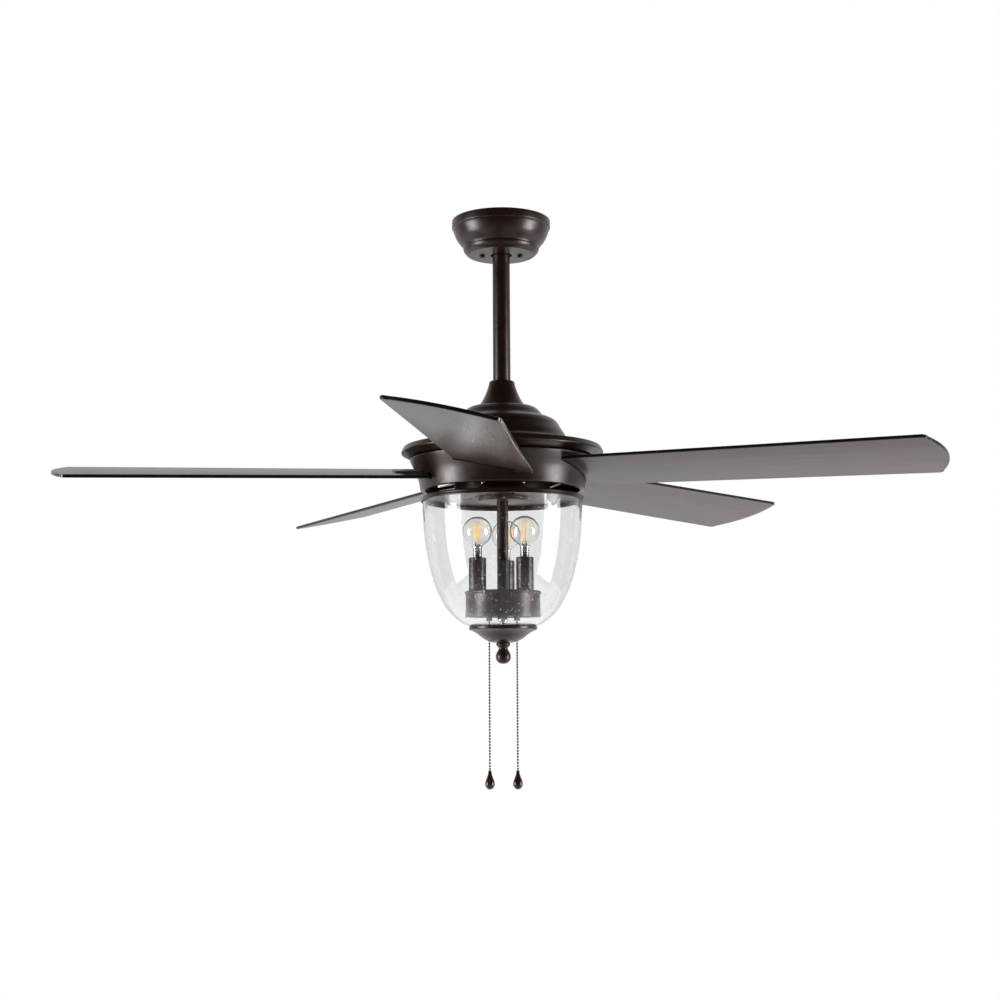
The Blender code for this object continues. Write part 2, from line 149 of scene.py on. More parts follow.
def mesh_piece(name, verts, faces, sharp_deg=SHARP_DEG, merge=True):
    """Mesh object at the origin from vertex rows in metres and face rows; doubles are merged."""
    mesh = bpy.data.meshes.new(name)
    mesh.from_pydata(np.asarray(verts, float).tolist(), [], [list(f) for f in faces])
    if merge:
        work = bmesh.new()
        work.from_mesh(mesh)
        bmesh.ops.remove_doubles(work, verts=work.verts, dist=1e-6)
        work.to_mesh(mesh)
        work.free()
    mesh.shade_smooth()
    mesh.set_sharp_from_angle(angle=math.radians(sharp_deg))
    obj = bpy.data.objects.new(name, mesh)
    bpy.context.scene.collection.objects.link(obj)
    return obj


def grid_faces(rows, cols, wrap_rows, wrap_cols):
    """Quads of a grid of rows by cols points, joined end to end where asked."""
    i = np.arange(rows if wrap_rows else rows - 1)
    j = np.arange(cols if wrap_cols else cols - 1)
    i, j = (a.ravel() for a in np.meshgrid(i, j, indexing="ij"))
    i2, j2 = (i + 1) % rows, (j + 1) % cols
    return np.column_stack([i * cols + j, i2 * cols + j, i2 * cols + j2, i * cols + j2])


def turned_grid(outline, turn, at=(0.0, 0.0)):
    """Points (r cos a, r sin a, z) for each outline point and each angle a round the axis, metres."""
    p = np.asarray(outline, float)
    a = np.arange(turn) * math.tau / turn
    x = p[:, :1] * np.cos(a) + at[0]
    y = p[:, :1] * np.sin(a) + at[1]
    z = np.repeat(p[:, 1:2], turn, axis=1)
    return np.stack([x, y, z], axis=-1).reshape(-1, 3) * MM


def turned(name, outline, turn=TURN, at=(0.0, 0.0), closed=True):
    """Turned piece from an outline that runs down its outer side.  A closed outline makes a ring; one
    that is not closed starts and ends on the axis."""
    return mesh_piece(name, turned_grid(outline, turn, at), grid_faces(len(outline), turn, closed, True))


def shell(name, outline, wall, turn=TURN):
    """Turned cover of an even wall."""
    return turned(name, walled(outline, wall), turn)


def ring(outline, turn, at=(0.0, 0.0)):
    """Vertices and faces of a turned ring, to be joined to others."""
    return turned_grid(outline, turn, at), grid_faces(len(outline), turn, True, True)


def swept_grid(path, radius, sides):
    """Tube points round a path: a circle of the radius in the plane across the path at each point.
    Path in millimetres, with a radius for each of its points."""
    p = np.asarray(path, float)
    along = np.gradient(p, axis=0)
    along /= np.linalg.norm(along, axis=1)[:, None]
    guide = np.array([0.0, 1.0, 0.0]) if abs(along[0, 1]) < 0.9 else np.array([1.0, 0.0, 0.0])
    side = np.cross(along, guide)
    side /= np.linalg.norm(side, axis=1)[:, None]
    up = np.cross(side, along)
    a = np.arange(sides) * math.tau / sides
    around = side[:, None, :] * np.cos(a)[None, :, None] + up[:, None, :] * np.sin(a)[None, :, None]
    return ((p[:, None, :] + around * radius[:, None, None]) * MM).reshape(-1, 3)


def capped_tube(path, radius, sides):
    """Vertices and faces of a tube along a path, closed at each end by a pole.  The radius is one
    number, or one for each point of the path."""
    p = np.asarray(path, float)
    r = np.broadcast_to(np.asarray(radius, float), (len(p),))
    r = np.concatenate([[POLE], r, [POLE]])
    along = np.gradient(p, axis=0) * 1e-6
    p = np.vstack([p[0] - along[0], p, p[-1] + along[-1]])
    return swept_grid(p, r, sides), grid_faces(len(p), sides, False, True)[:, ::-1]


def joined(name, parts):
    """One piece from several (vertices, faces) pairs, with every face turned outward."""
    verts, faces, start = [], [], 0
    for v, f in parts:
        verts.append(np.asarray(v))
        faces += [[int(k) + start for k in face] for face in f]
        start += len(v)
    piece = mesh_piece(name, np.vstack(verts), faces)
    work = bmesh.new()
    work.from_mesh(piece.data)
    bmesh.ops.recalc_face_normals(work, faces=work.faces)
    work.to_mesh(piece.data)
    work.free()
    return piece


def ball_grid(centre, radius, rings=7, turn=10):
    """Vertices and faces of a small ball as rings between two poles, centre in millimetres."""
    a = np.linspace(0, math.pi, rings)
    outline = np.column_stack([radius * np.sin(a), centre[2] + radius * np.cos(a)])
    outline[[0, -1], 0] = POLE
    return turned_grid(outline, turn, centre[:2]), grid_faces(rings, turn, False, True)


def moved(points, matrix):
    """Points turned by a matrix's 3 by 3 part and shifted by its last column."""
    m = np.array(matrix)
    return points @ m[:3, :3].T + m[:3, 3]


def prism(outline, low, high, to_fan=None):
    """Vertices and faces of a flat outline raised between two heights, moved by a matrix if given."""
    p = np.asarray(outline, float)
    n = len(p)
    verts = np.vstack([np.column_stack([p, np.full(n, z)]) for z in (low, high)]) * MM
    if to_fan is not None:
        verts = moved(verts, to_fan)
    faces = [[i, (i + 1) % n, n + (i + 1) % n, n + i] for i in range(n)]
    return verts, faces + [list(range(n))[::-1], list(range(n, 2 * n))]


def hexagon(across, at=(0.0, 0.0), turn_deg=0.0):
    """Corners of a nut's hexagon from its width across flats."""
    a = np.radians(np.arange(6) * 60.0 + turn_deg)
    r = across / math.sqrt(3.0)
    return np.column_stack([at[0] + r * np.cos(a), at[1] + r * np.sin(a)])


def circle(radius, at=(0.0, 0.0)):
    """Corners of a round hole's cutter."""
    a = np.radians(np.arange(24) * 15.0)
    return np.column_stack([at[0] + radius * np.cos(a), at[1] + radius * np.sin(a)])


def rectangle(left, right, near, far):
    """Corners of a flat rectangle, from its two sides in x and its two in y."""
    return [(left, near), (right, near), (right, far), (left, far)]


def chain_holes(radius, low, high):
    """Round cutters where the two pull chains pass."""
    return [prism(circle(radius, (side * CHAIN_X, 0.0)), low, high) for side in (-1, 1)]


def carve(piece, cutters):
    """Cut the (vertices, faces) solids out of a piece with an exact Boolean, and keep the result."""
    made = []
    for verts, faces in cutters:
        tool = mesh_piece("tool", verts, faces)
        made.append(tool)
        cut = piece.modifiers.new("cut", "BOOLEAN")
        cut.operation = "DIFFERENCE"
        cut.solver = "EXACT"
        cut.object = tool
    view = bpy.context.evaluated_depsgraph_get()
    result = bpy.data.meshes.new_from_object(piece.evaluated_get(view))
    piece.modifiers.clear()
    old, piece.data = piece.data, result
    bpy.data.meshes.remove(old)
    for tool in made:
        bpy.data.objects.remove(tool, do_unlink=True)
    piece.data.shade_smooth()
    piece.data.set_sharp_from_angle(angle=math.radians(SHARP_DEG))
    return piece


# ------------------------------------------------------------------ finishes

class Nodes:
    """Short way to lay out one material's nodes."""

    def __init__(self, name):
        self.material = bpy.data.materials.new(name)
        self.material.use_nodes = True
        self.tree = self.material.node_tree
        self.shader = self.tree.nodes["Principled BSDF"]

    def add(self, kind):
        return self.tree.nodes.new(kind)

    def link(self, source, target):
        self.tree.links.new(source, target)

    def place(self, scale=(1, 1, 1), source="Object"):
        """Coordinates through a Mapping that stretches them."""
        coords = self.add("ShaderNodeTexCoord")
        mapping = self.add("ShaderNodeMapping")
        mapping.inputs["Scale"].default_value = scale
        self.link(coords.outputs[source], mapping.inputs["Vector"])
        return mapping.outputs["Vector"]

    def noise(self, vector, scale, detail=3.0, rough=0.5, distortion=0.0):
        """Noise with so many lumps to the metre."""
        node = self.add("ShaderNodeTexNoise")
        node.inputs["Scale"].default_value = scale
        node.inputs["Detail"].default_value = detail
        node.inputs["Roughness"].default_value = rough
        node.inputs["Distortion"].default_value = distortion
        self.link(vector, node.inputs["Vector"])
        return node.outputs["Fac"]

    def ramp(self, source, stops):
        """Colours at places along a source's range."""
        node = self.add("ShaderNodeValToRGB")
        bar = node.color_ramp.elements
        while len(bar) < len(stops):
            bar.new(0.5)
        for stop, (at, colour) in zip(bar, stops):
            stop.position = at
            stop.color = (*colour, 1.0)
        self.link(source, node.inputs["Fac"])
        return node.outputs["Color"]

    def spread(self, source, low, high, start=0.3, end=0.7):
        """Map a source between two values."""
        node = self.add("ShaderNodeMapRange")
        for key, value in (("From Min", start), ("From Max", end), ("To Min", low), ("To Max", high)):
            node.inputs[key].default_value = value
        self.link(source, node.inputs["Value"])
        return node.outputs["Result"]

    def tone(self, source, low, high):
        """Base colour that drifts between two."""
        self.link(self.ramp(source, [(0.3, low), (0.7, high)]), self.shader.inputs["Base Color"])

    def roughness(self, source, low, high):
        """Roughness that drifts between two."""
        self.link(self.spread(source, low, high), self.shader.inputs["Roughness"])

    def bump(self, height, strength, distance):
        node = self.add("ShaderNodeBump")
        node.inputs["Strength"].default_value = strength
        node.inputs["Distance"].default_value = distance
        self.link(height, node.inputs["Height"])
        self.link(node.outputs["Normal"], self.shader.inputs["Normal"])

    def set(self, **values):
        for key, value in values.items():
            self.shader.inputs[key.replace("_", " ")].default_value = value


def bronze_finish():
    """Oil-rubbed bronze: near-black brown satin paint with faint warm mottling and fine orange peel."""
    n = Nodes("oil_rubbed_bronze")
    where = n.place()
    n.tone(n.noise(where, 28.0, 4.0, 0.6), (0.0125, 0.0050, 0.0030), (0.0190, 0.0080, 0.0050))
    n.roughness(n.noise(where, 60.0, 5.0), 0.27, 0.35)
    n.bump(n.noise(where, 700.0, 2.0), 0.01, 0.0002)
    n.set(Metallic=0.15)
    return n.material


def metal_finish(name, low, high, rough, grain=(1, 1, 1), metallic=1.0):
    """Bare or plated metal with a drawn or cast grain in its roughness and surface."""
    n = Nodes(name)
    where = n.place(grain)
    n.tone(n.noise(where, 45.0, 5.0, 0.6), low, high)
    n.roughness(n.noise(where, 180.0), rough * 0.8, rough * 1.25)
    n.bump(n.noise(where, 700.0), 0.08, 0.0003)
    n.set(Metallic=metallic)
    return n.material


def plain_finish(name, low, high, rough, bump=0.05, scale=500.0):
    """Moulded plastic, rubber or lacquer: a faint drift of tone and a fine skin."""
    n = Nodes(name)
    where = n.place()
    n.tone(n.noise(where, 35.0), low, high)
    n.roughness(n.noise(where, 90.0), rough * 0.85, rough * 1.15)
    n.bump(n.noise(where, scale, 2.0), bump, 0.0003)
    return n.material


def walnut_finish():
    """Dark walnut veneer under satin lacquer: long reddish streaks, fine pores and a broad drift."""
    n = Nodes("dark_walnut")
    drift = n.noise(n.place((1.2, 9.0, 1.0), "UV"), 2.2, 4.0, 0.55, 0.6)
    streak = n.noise(n.place((2.0, 60.0, 1.0), "UV"), 3.0, 7.0, 0.62, 0.35)
    pores = n.noise(n.place((14.0, 420.0, 1.0), "UV"), 2.0, 3.0, 0.5)
    both = n.add("ShaderNodeMix")
    both.data_type = "FLOAT"
    both.inputs[0].default_value = 0.62
    n.link(drift, both.inputs[2])
    n.link(streak, both.inputs[3])
    colour = n.ramp(both.outputs[0], [(0.30, (0.0110, 0.0050, 0.0042)), (0.47, (0.0200, 0.0092, 0.0075)),
                                      (0.58, (0.0400, 0.0165, 0.0125)), (0.74, (0.0650, 0.0270, 0.0200))])
    n.link(colour, n.shader.inputs["Base Color"])
    n.roughness(pores, 0.27, 0.31)
    return n.material


def glass_finish(name, tint, wave_scale, wave_strength, shine=0.5):
    """Clear glass with a slow waviness of its surface."""
    n = Nodes(name)
    n.bump(n.noise(n.place(), wave_scale, 3.0, 0.6), wave_strength, 0.0015)
    n.set(Base_Color=(*tint, 1.0), Roughness=0.0, IOR=1.47, Transmission_Weight=1.0,
          Specular_IOR_Level=shine)
    return n.material


def seed_finish():
    """Seeds of the bowl: milky specks that let part of the light through."""
    n = Nodes("glass_seed")
    n.tone(n.noise(n.place(), 60.0, 2.0), (0.50, 0.51, 0.52), (0.85, 0.85, 0.85))
    n.set(Roughness=0.25, IOR=1.47, Transmission_Weight=0.12)
    return n.material


def glow_finish():
    """Amber phosphor of a lamp filament, glowing faintly of its own."""
    n = Nodes("filament")
    n.tone(n.noise(n.place(), 400.0, 2.0), (0.85, 0.44, 0.08), (0.95, 0.58, 0.15))
    n.set(Roughness=0.5, Emission_Color=(1.0, 0.58, 0.16, 1.0), Emission_Strength=0.25)
    return n.material


BRONZE = bronze_finish()
ZINC = metal_finish("zinc_steel", (0.50, 0.50, 0.50), (0.66, 0.66, 0.66), 0.3, (1, 1, 6))
CASTING = metal_finish("motor_casting", (0.26, 0.26, 0.27), (0.36, 0.36, 0.37), 0.5)
CHROME = metal_finish("bright_chrome", (0.80, 0.80, 0.82), (0.92, 0.92, 0.93), 0.08)
LAMP_CAP = metal_finish("lamp_cap", (0.55, 0.54, 0.52), (0.72, 0.71, 0.69), 0.16)
CHAIN = metal_finish("chain_bronze", (0.010, 0.0075, 0.006), (0.020, 0.015, 0.012), 0.3, metallic=0.5)
WIRE = metal_finish("lead_wire", (0.55, 0.48, 0.42), (0.70, 0.64, 0.58), 0.3)
WALNUT = walnut_finish()
EDGE = plain_finish("blade_edge", (0.0045, 0.0035, 0.0032), (0.009, 0.0065, 0.0055), 0.16, 0.02)
FOB = plain_finish("fob_walnut", (0.020, 0.0075, 0.0050), (0.040, 0.0150, 0.0095), 0.10, 0.01, 120.0)
BLACK = plain_finish("black_plastic", (0.012, 0.012, 0.012), (0.02, 0.02, 0.02), 0.5)
RUBBER = plain_finish("black_rubber", (0.010, 0.010, 0.010), (0.018, 0.018, 0.018), 0.8, 0.2)
BOWL_GLASS = glass_finish("seeded_glass", (0.93, 0.932, 0.938), 22.0, 0.10, 0.28)
LAMP_GLASS = glass_finish("lamp_glass", (0.99, 0.985, 0.97), 20.0, 0.02)
SEED = seed_finish()
GLOW = glow_finish()


def dress(piece, finish, body, slot, *nodes):
    """Give a piece its finish and its body, and hide the frame nodes it stands for; the slot argument is
    not used.
    """
    piece.data.materials.clear()
    piece.data.materials.append(finish)
    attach(piece, body)
    if nodes:
        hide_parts(*nodes)
    return piece


def bronze_piece(piece, body, *nodes):
    """Dress a piece in the fan's bronze."""
    return dress(piece, BRONZE, body, "oil_rubbed_bronze", *nodes)


# ------------------------------------------------------------------ camera and pull chains

def make_camera():
    """Camera a little under the blades, looking slightly up at the fan from the front."""
    distance, below_blades = 2.472, 0.3345
    up_deg, aside_deg, roll_deg = 6.87, 0.086, 0.3
    data = bpy.data.cameras.new("camera")
    data.lens = 59.4
    data.sensor_width = 36.0
    data.clip_end = 60.0
    camera = bpy.data.objects.new("camera", data)
    camera.location = (0.0, -distance, BLADE_Z * MM - below_blades)
    turn = (Matrix.Rotation(math.radians(aside_deg), 4, "Z")
            @ Matrix.Rotation(math.radians(90.0 + up_deg), 4, "X")
            @ Matrix.Rotation(math.radians(-roll_deg), 4, "Z"))
    camera.rotation_euler = turn.to_euler()
    bpy.context.scene.collection.objects.link(camera)
    bpy.context.scene.camera = camera


def fob_outline():
    """Teardrop: a slim shoulder that swells to its widest two thirds down, and a round end."""
    top = FOB_TOP - 2.2
    line = flow([(1.9, top), (2.6, top - 2.4), (4.1, top - 7.2), (6.2, top - 12.6), (7.3, top - 17.0),
                 (6.9, top - 20.6), (5.0, top - 23.8), (2.4, top - 25.7)], 5)
    return np.vstack([[(0.0, top)], line, [(0.0, FOB_TOP - 28.3)]])


def make_chain(n, side, body):
    """Bead chain hanging straight down: a row of round beads on a thin wire, a bell at its end and
    the fob below it."""
    x = side * CHAIN_X
    top, bottom = NOSE_Z - 0.3, FOB_TOP + 0.3
    count = int((top - bottom - CHAIN_DIA) / BEAD_PITCH)
    heights = top - CHAIN_DIA / 2 - np.arange(count + 1) * (top - bottom - CHAIN_DIA) / count
    parts = [ball_grid((x, 0.0, z), CHAIN_DIA / 2) for z in heights]
    wire = [(x, 0.0, z) for z in np.linspace(top, bottom, 30)]
    parts.append(capped_tube(wire, CHAIN_WIRE_R, 6))
    chain = joined(f"bead_chain_{n}", parts)
    dress(chain, CHAIN, body, "chain_bronze", f"pull_chain_{n}")
    fob = turned(f"teardrop_fob_{n}", fob_outline(), 40, (x, 0.0), closed=False)
    dress(fob, FOB, body, "fob_walnut", f"chain_fob_{n}")
    bell = flow([(1.3, FOB_TOP), (2.1, FOB_TOP - 0.7), (2.3, FOB_TOP - 1.8), (3.0, FOB_TOP - 3.2)], 4)
    bell = np.vstack([[(0.0, FOB_TOP)], bell, [(0.0, FOB_TOP - 3.2)]])
    cap = turned(f"chain_bell_{n}", bell, 28, (x, 0.0), closed=False)
    dress(cap, CHAIN, body, "chain_bronze")


# ------------------------------------------------------------------ canopy, rod and housing

def make_canopy():
    """Canopy: straight band, a groove, a full belt, a second smaller belt and a flat floor with a
    keyhole for each of its two slotted screws."""
    line = eased([(74.6, -0.5), (75.5, -1.4), (75.5, -12.4), (73.6, -14.0)], 0.8)
    belt = flow([(73.6, -14.6), (73.0, -17.5), (71.0, -23.0), (68.2, -29.0), (64.4, -34.5), (60.2, -39.6),
                 (58.5, -42.2)])
    low = flow([(58.1, -43.0), (58.0, -45.6), (56.8, -48.6), (54.4, -51.6), (51.6, -53.9)])
    floor = eased([(51.6, -53.9), (50.4, CANOPY_FLOOR), (16.6, CANOPY_FLOOR)], 0.6)
    cup = shell("canopy_cup", np.vstack([line, belt, low, floor[1:]]), 1.2)
    hole_r, slot_half, slot_run = 3.2, 2.2, 9.0
    through = CANOPY_FLOOR - 4.0, CANOPY_FLOOR + 4.0
    cutters = []
    for side in (-1, 1):
        x = side * SCREW_X
        cutters.append(prism(circle(hole_r, (x, 0.0)), *through))
        near, far = sorted((0.0, side * slot_run))
        cutters.append(prism(rectangle(x - slot_half, x + slot_half, near, far), *through))
    bronze_piece(carve(cup, cutters), "ceiling_mount", "canopy")
    dome = flow([(4.3, -55.2), (4.0, -56.8), (2.4, -57.9), (0.01, -58.2)], 5)
    head = np.vstack([[(0.0, -55.0), (4.2, -55.0)], dome, [(0.0, -58.2)]])
    for n, side in enumerate((-1, 1), 1):
        x = side * SCREW_X
        screw = turned(f"canopy_screw_head_{n}", head, 32, (x, 0.0), closed=False)
        carve(screw, [prism(rectangle(x - 5.0, x + 5.0, -0.45, 0.45), -59.0, -57.4)])
        dress(screw, CHAIN, "ceiling_mount", "zinc_steel", f"canopy_screw_{n}")


def make_rod():
    """Downrod: a straight pipe with softened ends."""
    pipe = eased([(10.8, -10), (13.35, -10), (13.35, -286), (10.8, -286), (10.8, -10.001)], 0.5)
    bronze_piece(turned("downrod_pipe", pipe), "pendant", "downrod")


def make_yoke_cover():
    """Short collar round the rod that flares into a hollow cone."""
    cone = np.vstack([eased([(14.2, -251.5), (18.6, -251.5), (19.3, -252.6), (19.5, -254.2)], 0.6),
                      flow([(19.7, -255.2), (21.0, -260.2), (23.4, -267.2), (26.6, -275.0), (30.6, -282.4),
                            (34.2, -288.0)]),
                      [(34.6, -289.7)]])
    bronze_piece(shell("yoke_cover_cone", cone, WALL), "pendant", "yoke_cover")


def make_upper_housing():
    """Upper housing: two rounded steps down from under the cone."""
    steps = np.vstack([eased([(22.0, -290.0), (38.0, -290.0), (41.5, -290.4)], 0.6),
                       flow([(43.0, -290.7), (50.8, -293.0), (56.4, -297.6), (60.4, -302.6),
                             (63.2, -306.0)]),
                       flow([(64.4, -306.6), (73.3, -309.4), (80.6, -313.2), (85.2, -318.4), (88.2, -323.6),
                             (92.0, -329.5), (95.0, -334.4), (97.4, -339.4), (99.6, -342.8),
                             (102.6, -345.0)]),
                       [(103.5, -345.8), (103.5, -346.8)]])
    bronze_piece(shell("upper_housing_cover", steps, WALL), "pendant", "upper_housing")


def make_flange():
    """Wide flange: a nearly flat top, a rolled rim and an underside drawn in to the drum."""
    brim = np.vstack([eased([(101.0, -347.4), (105.0, -347.6), (149.2, -353.9), (152.9, -361.4),
                             (152.2, -363.4), (149.4, -364.6)], 0.7),
                      flow([(148.6, -365.0), (145.6, -366.8), (142.6, -368.4), (139.6, -369.6)]),
                      [(137.2, -370.3)]])
    bronze_piece(shell("flange_rim", brim, WALL), "pendant", "flange_ring")


def blade_frame(index):
    """Frame of one blade: X out along it, Z off its upper face, with its pitch and its droop."""
    angle = math.radians(FIRST_BLADE_DEG + 360.0 / BLADES * index)
    hinge = Vector((DROOP_FROM * MM, 0.0, 0.0))
    return (Matrix.Rotation(angle, 4, "Z") @ Matrix.Translation(Vector((0, 0, BLADE_Z * MM)) + hinge)
            @ Matrix.Rotation(math.radians(DROOP_DEG), 4, "Y")
            @ Matrix.Rotation(-math.radians(PITCH_DEG), 4, "X") @ Matrix.Translation(-hinge))


def make_drum():
    """Blade drum: a web over the rotor, a rolled top edge and a hollow taper that ends in a narrow
    lip, cut through where each blade enters."""
    line = np.vstack([eased([(81.0, -371.6), (137.4, -371.6), (139.4, -372.6)], 0.9),
                      flow([(139.5, -373.4), (138.4, -376.0), (136.0, -381.0), (133.2, -386.6),
                            (130.0, -393.4), (127.6, -400.0), (125.9, -406.4), (124.7, -412.6),
                            (124.0, -417.4)]),
                      eased([(123.9, -418.0), (123.1, -419.2), (117.0, -419.2)], 0.9)[1:]])
    drum = shell("blade_drum_cover", line, WALL)
    slot = rectangle(105.0, 150.0, -60.3, 50.0)
    cutters = [prism(slot, -4.0, 6.0, blade_frame(i)) for i in range(BLADES)]
    bronze_piece(carve(drum, cutters), "rotor", "blade_drum")


# ------------------------------------------------------------------ blades

def blade_outline():
    """Half of the blade seen flat, then mirrored: sides that widen evenly from the drum to the tip,
    a corner arc, and a tip bowed as a parabola."""
    def half_width(r):
        along = (r - EXIT_R) / (CORNER_AT - EXIT_R)
        return (WIDTH_ROOT_SIDE + (WIDTH_TIP - WIDTH_ROOT_SIDE) * along) / 2
    corner = TIP_CORNER_R
    side_r = np.linspace(ROOT, CORNER_AT - corner, 24)
    side = np.column_stack([side_r, -half_width(side_r)])
    top = WIDTH_TIP / 2
    a = np.radians(np.linspace(0, 90, 9))[1:]
    bend = np.column_stack([CORNER_AT - corner * (1 - np.sin(a)), -top + corner * (1 - np.cos(a))])
    y = np.linspace(-(top - corner), 0, 14)[1:]
    bow = np.column_stack([TIP - (TIP - CORNER_AT) * (y / (top - corner)) ** 2, y])
    half = np.vstack([side, bend, bow])
    return np.vstack([half, (half * [1, -1])[-2::-1]])


def make_blade(index):
    """One blade: the outline repeated up a softly rounded edge, with flat faces and grain along it."""
    line = blade_outline()
    ahead = np.roll(line, -1, axis=0) - np.roll(line, 1, axis=0)
    ahead /= np.linalg.norm(ahead, axis=1)[:, None]
    inward = np.column_stack([-ahead[:, 1], ahead[:, 0]])
    a = np.radians(np.linspace(-90, 90, 9))
    insets = EDGE_SOFT * (1 - np.cos(a))
    heights = np.sign(a) * (THICK / 2 - EDGE_SOFT) + EDGE_SOFT * np.sin(a)
    rings = [np.column_stack([line + inward * s, np.full(len(line), z)]) for s, z in zip(insets, heights)]
    local = np.vstack(rings)
    n, rows = len(line), len(rings)
    faces = grid_faces(rows, n, False, True)[:, ::-1].tolist()
    faces += [list(range(n))[::-1], list(range((rows - 1) * n, rows * n))]
    placed = moved(local * MM, blade_frame(index))
    blade = mesh_piece(f"walnut_blade_{index + 1}", placed, faces, 25.0, merge=False)
    layer = blade.data.uv_layers.new(name="grain")
    corners = np.empty(len(blade.data.loops), dtype=np.int32)
    blade.data.loops.foreach_get("vertex_index", corners)
    flat = local[corners][:, :2] * MM + [index * 1.7, index * 0.31]
    layer.data.foreach_set("uv", flat.astype(np.float32).ravel())
    dress(blade, WALNUT, "rotor", "dark_walnut", f"blade_{index + 1}")
    blade.data.materials.append(EDGE)
    edge = np.zeros(len(faces), dtype=np.int32)
    edge[:(rows - 1) * n] = 1
    blade.data.polygons.foreach_set("material_index", edge)


# ------------------------------------------------------------------ light kit

def make_hub():
    """Hub in the gap under the drum: a short drum of its own on the shaft's end."""
    hub = eased([(8.3, -400.0), (70.5, -400.0), (72.0, -401.5), (72.0, PAN_Z + 0.3)], 1.0)
    bronze_piece(shell("kit_hub", hub, WALL), "pendant", "light_kit_hub")


def make_pan():
    """Fitter pan: a flat plate with a dished middle and a turned-down lip, and three keyholes."""
    pan = eased([(4.6, -434.5), (36.0, -434.5), (38.2, -433.8), (40.5, PAN_Z), (120.6, PAN_Z),
                 (122.3, -429.4), (122.3, -432.6), (122.9, -433.4), (122.9, -435.8)], 1.1)
    plate = shell("fitter_pan_ring", pan, PLATE_WALL)
    hole_r, slot_end, slot_half = 50.0, 61.0, 2.4
    through = PAN_Z - 4.0, PAN_Z + 3.0
    keys = []
    for deg in (46.0, 166.0, 286.0):
        turn = Matrix.Rotation(math.radians(deg), 4, "Z")
        keys.append(prism(rectangle(hole_r, slot_end, -slot_half, slot_half), *through, turn))
        keys.append(prism(hexagon(7.6, (hole_r, 0.0)), *through, turn))
    bronze_piece(carve(plate, keys), "pendant", "fitter_pan")


def make_hub_screws():
    """Domed heads of the four screws round the hub's side: tubes outward whose radius falls away."""
    for n, deg in enumerate((-113.0, -65.0, 67.0, 113.0), 1):
        c, s = math.cos(math.radians(deg)), math.sin(math.radians(deg))
        route = np.array([(r * c, r * s, -414.5) for r in (72.05, 73.0, 73.8, 74.3)])
        screw = joined(f"hub_screw_{n}", [capped_tube(route, [2.6, 2.6, 2.2, 1.2], 18)])
        dress(screw, ZINC, "pendant", "zinc_steel")


def make_cluster():
    """Centre tube, the lamp cluster's cup with its rolled top edge, its floor and the nut under it."""
    tube = eased([(5.0, -436.1), (8.6, -436.1), (8.6, STAND_Z), (5.0, STAND_Z), (5.0, -436.11)], 0.4)
    bronze_piece(turned("centre_tube_pipe", tube, SMALL_TURN), "pendant", "centre_tube")
    cup = np.vstack([eased([(4.5, CLUSTER_TOP), (55.2, CLUSTER_TOP), (57.1, -571.2)], 0.8),
                     flow([(57.5, -572.2), (57.3, -573.6), (56.3, -574.8), (55.9, -577.0), (55.8, -590.0),
                           (56.2, -602.0), (56.7, -609.5)])])
    bronze_piece(shell("cluster_cup", cup, PLATE_WALL), "pendant", "cluster_body")
    floor = eased([(4.5, CLUSTER_FLOOR), (54.2, CLUSTER_FLOOR), (54.2, CLUSTER_FLOOR - 1.5),
                   (4.5, CLUSTER_FLOOR - 1.5), (4.5, CLUSTER_FLOOR - 0.01)], 0.3)
    plate = turned("cluster_floor", floor, SMALL_TURN)
    bronze_piece(carve(plate, chain_holes(4.9, -610, -602)), "pendant", "cluster_plate")
    nut = prism(hexagon(15.0, turn_deg=12.0), CLUSTER_FLOOR - 1.8, CLUSTER_FLOOR - 7.4)
    bore = TIE_ROD_R + 0.1
    collar = eased([(bore, -613.6), (7.6, -613.6), (7.6, -616.0), (5.6, -617.2), (bore, -617.2),
                    (bore, -613.61)], 0.5)
    dress(joined("cluster_nut", [nut, ring(collar, 40)]), CHROME, "pendant", "zinc_steel")


def make_outlets():
    """Threaded nose of each pull switch below the cluster's floor, with its hexagonal nut."""
    nose = eased([(4.3, CLUSTER_FLOOR), (4.3, -613.5), (4.9, -614.6), (4.9, NOSE_Z), (2.4, NOSE_Z),
                  (2.4, CLUSTER_FLOOR), (4.3, CLUSTER_FLOOR + 0.01)], 0.4)
    for n, side in enumerate((-1, 1), 1):
        at = (side * CHAIN_X, 0.0)
        parts = [prism(hexagon(12.0, at, 30.0), -607.8, -610.4), ring(nose, 32, at)]
        dress(joined(f"switch_nose_{n}", parts), CHAIN, "pendant", "black_plastic")


def lamp_places():
    """Axis of each lamp, evenly round the centre tube."""
    for n in range(LAMPS):
        angle = math.radians(FIRST_LAMP_DEG + 360.0 / LAMPS * n)
        yield n + 1, LAMP_RING_R * math.cos(angle), LAMP_RING_R * math.sin(angle)


